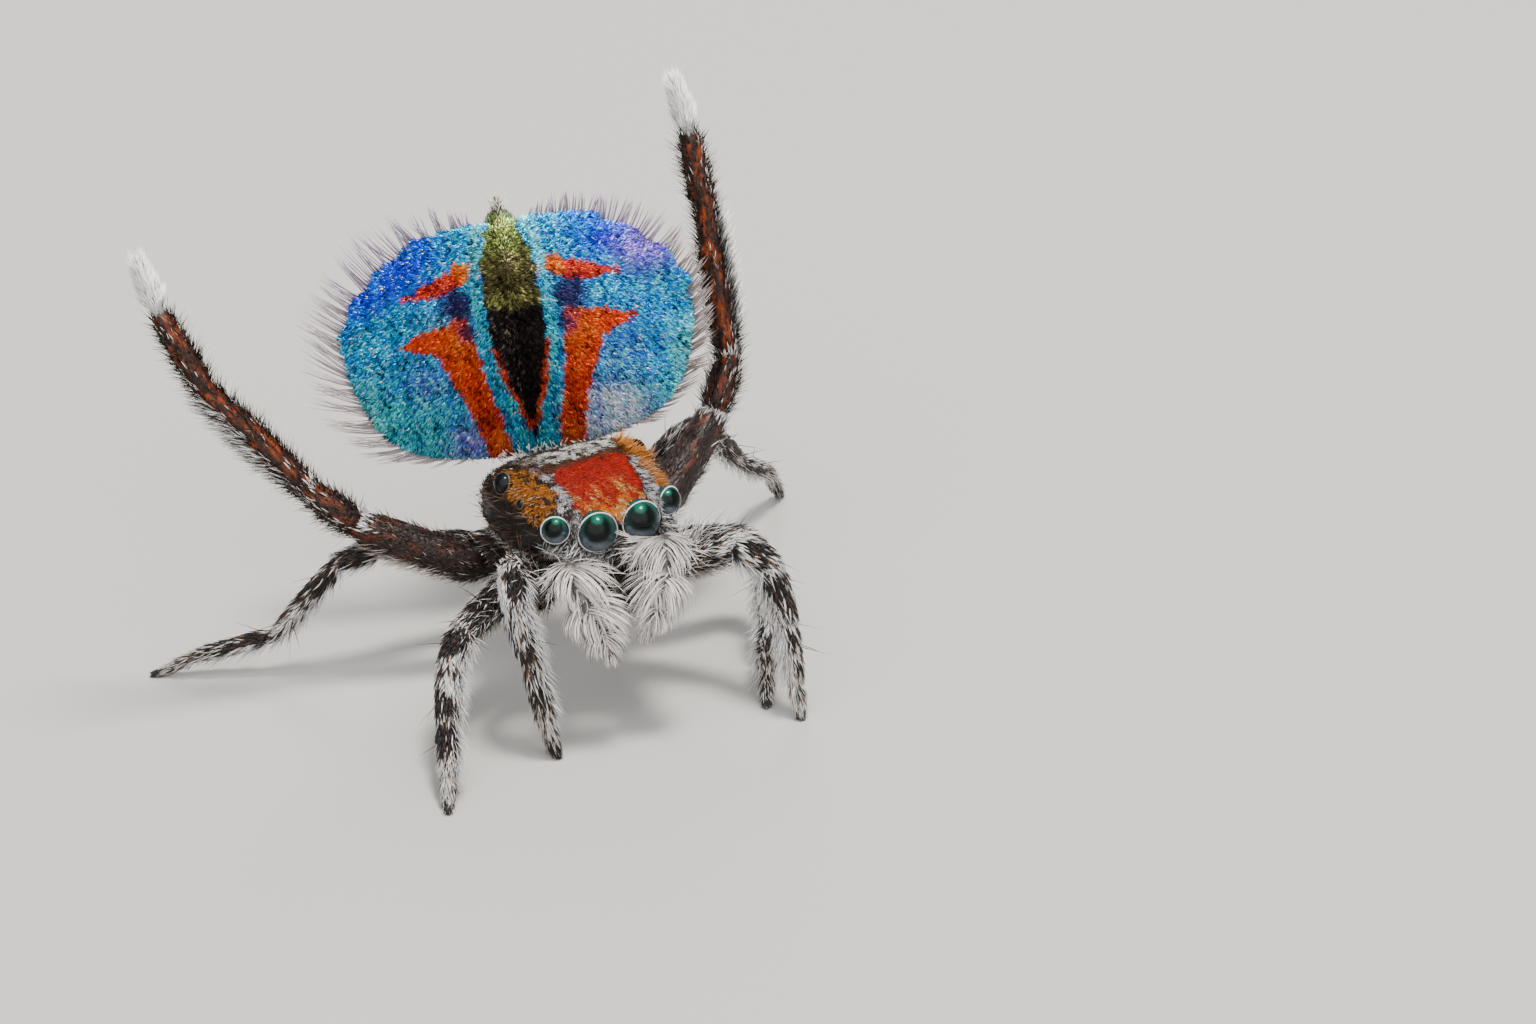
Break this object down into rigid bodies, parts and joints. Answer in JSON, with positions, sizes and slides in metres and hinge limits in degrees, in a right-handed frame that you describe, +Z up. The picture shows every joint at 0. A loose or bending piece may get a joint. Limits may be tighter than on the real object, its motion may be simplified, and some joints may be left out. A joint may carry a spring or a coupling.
{
  "type": "jumping spider",
  "caption": "Small jumping spider in a courtship stance: raised round fan on the abdomen, two bristly legs held up, fluffy white palps, glossy eyes and a red head.",
  "frame": {"origin": "centre of the bounding box at the height of the feet", "axes": "+Z up, -Y the way the spider faces, +X its left side"},
  "size_m": [0.0074, 0.0048, 0.0055],
  "materials": {
    "carapace": "short red, orange, grey and brown scales and hair",
    "flesh": "dark hairy cuticle",
    "leg": "mottled black, brown and white hair",
    "raised_leg": "dark brown cuticle with brown and white bristles",
    "eye": "glossy black-green lens",
    "flap": "iridescent blue scales with red marks and pale bristles",
    "abdomen": "olive, black, red and pale blue scales",
    "palp": "long white hair"
  },
  "bodies": {
    "root": {"abdomen": "abdomen", "carapace": "carapace", "chelicera_left": "flesh", "chelicera_right": "flesh", "eye_anterior_lateral_left": "eye", "eye_anterior_lateral_right": "eye", "eye_anterior_median_left": "eye", "eye_anterior_median_right": "eye", "eye_posterior_lateral_left": "eye", "eye_posterior_lateral_right": "eye", "eye_posterior_median_left": "eye", "eye_posterior_median_right": "eye", "flap_left": "flap", "flap_right": "flap", "leg_1_femur_left": "leg", "leg_1_femur_right": "leg", "leg_1_tarsus_left": "leg", "leg_1_tarsus_right": "leg", "leg_1_tibia_left": "leg", "leg_1_tibia_right": "leg", "leg_2_femur_left": "leg", "leg_2_femur_right": "leg", "leg_2_tarsus_left": "leg", "leg_2_tarsus_right": "leg", "leg_2_tibia_left": "leg", "leg_2_tibia_right": "leg", "leg_3_femur_left": "raised_leg", "leg_3_femur_right": "raised_leg", "leg_3_tarsus_left": "raised_leg", "leg_3_tarsus_right": "raised_leg", "leg_3_tibia_left": "raised_leg", "leg_3_tibia_right": "raised_leg", "leg_4_femur_left": "leg", "leg_4_femur_right": "leg", "leg_4_tarsus_left": "leg", "leg_4_tarsus_right": "leg", "leg_4_tibia_left": "leg", "leg_4_tibia_right": "leg", "palp_arm_left": "palp", "palp_arm_right": "palp", "palp_club_left": "palp", "palp_club_right": "palp", "pedicel": "flesh", "spinnerets": "palp", "sternum": "flesh"}
  },
  "joints": []
}
